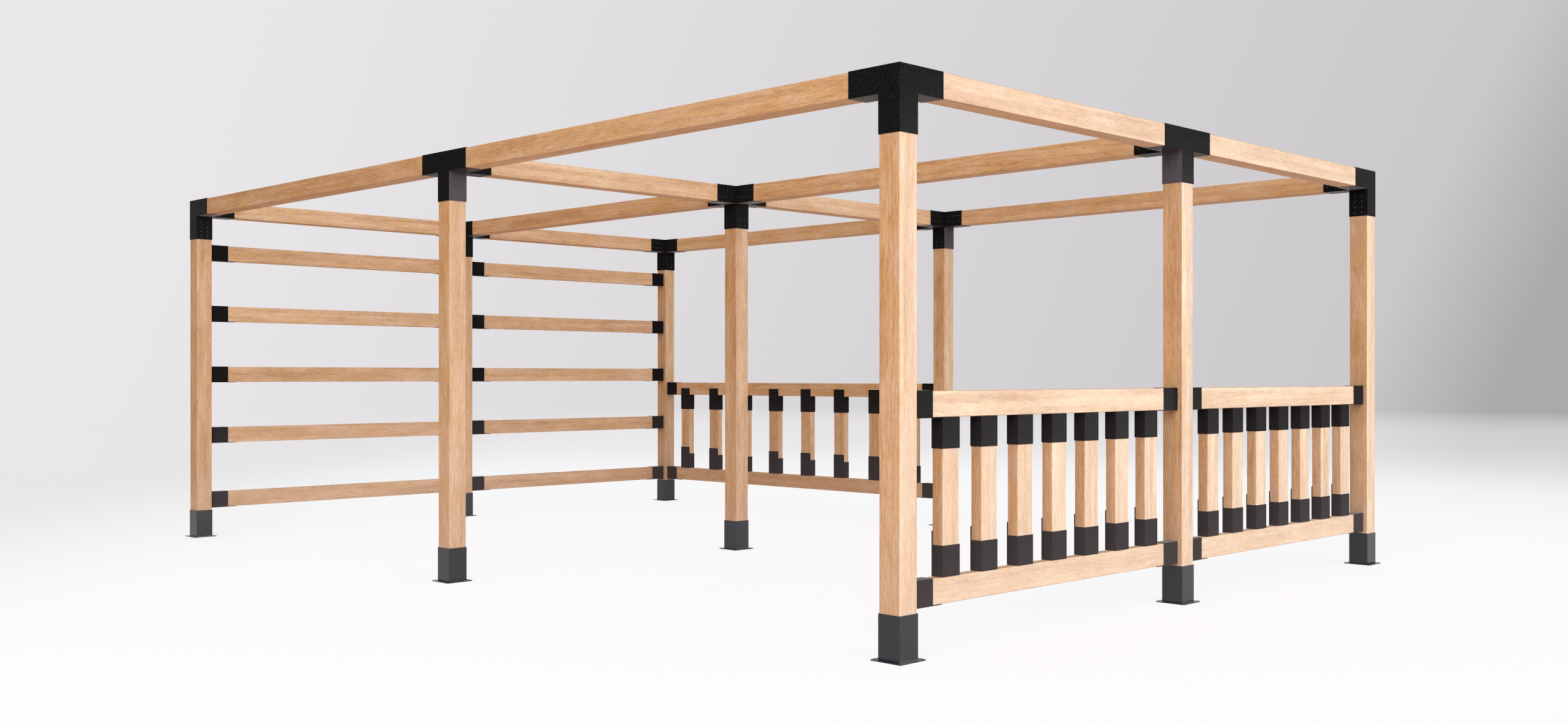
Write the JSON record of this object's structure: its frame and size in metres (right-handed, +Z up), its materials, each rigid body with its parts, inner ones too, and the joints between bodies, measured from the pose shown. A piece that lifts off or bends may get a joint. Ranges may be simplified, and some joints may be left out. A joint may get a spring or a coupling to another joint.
{
  "type": "wooden pergola",
  "caption": "Open timber pergola of square posts and beams in black steel sockets, with a slatted back screen, railings along the front and part of a side, and bolt-down feet.",
  "frame": {"origin": "on the ground under the centre post", "axes": "+Z up, +Y from the railed front to the slatted back along the longer bays, +X to the right seen from the front"},
  "size_m": [4.15, 6.15, 2.2],
  "materials": {
    "timber": "planed softwood, straight grain",
    "black_steel": "matt black powder coat"
  },
  "bodies": {
    "root": {"back_beams": "timber", "centre_beams": "timber", "foot_back_left": "black_steel", "foot_back_middle": "black_steel", "foot_back_right": "black_steel", "foot_centre": "black_steel", "foot_front_left": "black_steel", "foot_front_middle": "black_steel", "foot_front_right": "black_steel", "foot_middle_left": "black_steel", "foot_middle_right": "black_steel", "front_beams": "timber", "head_back_left": "black_steel", "head_back_middle": "black_steel", "head_back_right": "black_steel", "head_centre": "black_steel", "head_front_left": "black_steel", "head_front_middle": "black_steel", "head_front_right": "black_steel", "head_middle_left": "black_steel", "head_middle_right": "black_steel", "left_beams": "timber", "middle_beams": "timber", "post_back_left": "timber", "post_back_middle": "timber", "post_back_right": "timber", "post_centre": "timber", "post_front_left": "timber", "post_front_middle": "timber", "post_front_right": "timber", "post_middle_left": "timber", "post_middle_right": "timber", "railing_front_left_balusters": "timber", "railing_front_left_brackets": "black_steel", "railing_front_left_rails": "timber", "railing_front_right_balusters": "timber", "railing_front_right_brackets": "black_steel", "railing_front_right_rails": "timber", "railing_side_balusters": "timber", "railing_side_brackets": "black_steel", "railing_side_rails": "timber", "right_beams": "timber", "screen_brackets": "black_steel", "screen_rails": "timber"}
  },
  "joints": []
}
